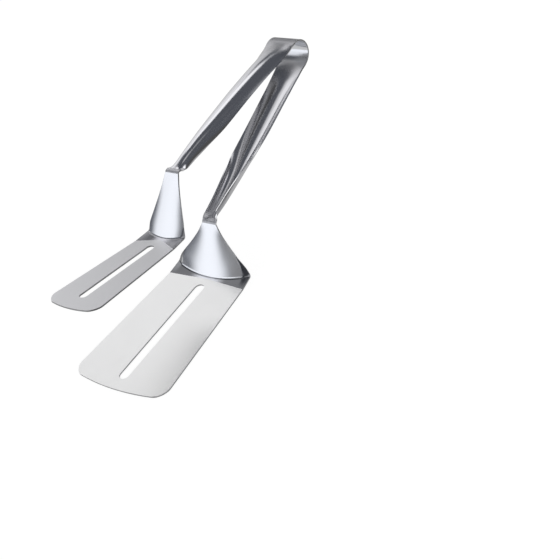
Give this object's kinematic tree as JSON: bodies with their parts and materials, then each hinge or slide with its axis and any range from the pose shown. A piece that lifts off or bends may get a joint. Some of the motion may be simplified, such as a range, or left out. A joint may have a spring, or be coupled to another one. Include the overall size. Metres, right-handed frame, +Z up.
{
  "type": "spatula tongs",
  "caption": "Sheet-steel kitchen tongs: a wide and a narrow slotted turner blade on rolled handles, joined at the back by a U-shaped spring bow.",
  "frame": {"origin": "middle of the tongs in plan, on the level that the underside of the wide blade rests on", "axes": "+X from the bow to the blades, +Z up from the wide blade to the narrow one, +Y across the blades; the plane Y = 0 is the mirror plane"},
  "size_m": [0.2496, 0.077, 0.0906],
  "materials": {
    "wide_arm_steel": "polished handle and shoulder, fine satin blade",
    "narrow_arm_steel": "polished handle and shoulder, fine satin blade",
    "bow_steel": "polished"
  },
  "bodies": {
    "wide_arm": {"wide_spatula_arm": "wide_arm_steel", "spring_bow": "bow_steel"},
    "narrow_arm": {"narrow_spatula_arm": "narrow_arm_steel"}
  },
  "joints": [
    {"name": "squeeze", "type": "hinge", "parent": "wide_arm", "child": "narrow_arm", "pos_m": [-0.11498, 0, 0.07826], "axis": [0, 1, 0], "range_deg": [-4, 16.3], "stiffness_Nm_per_rad": 3, "deforming": ["spring_bow"]}
  ]
}
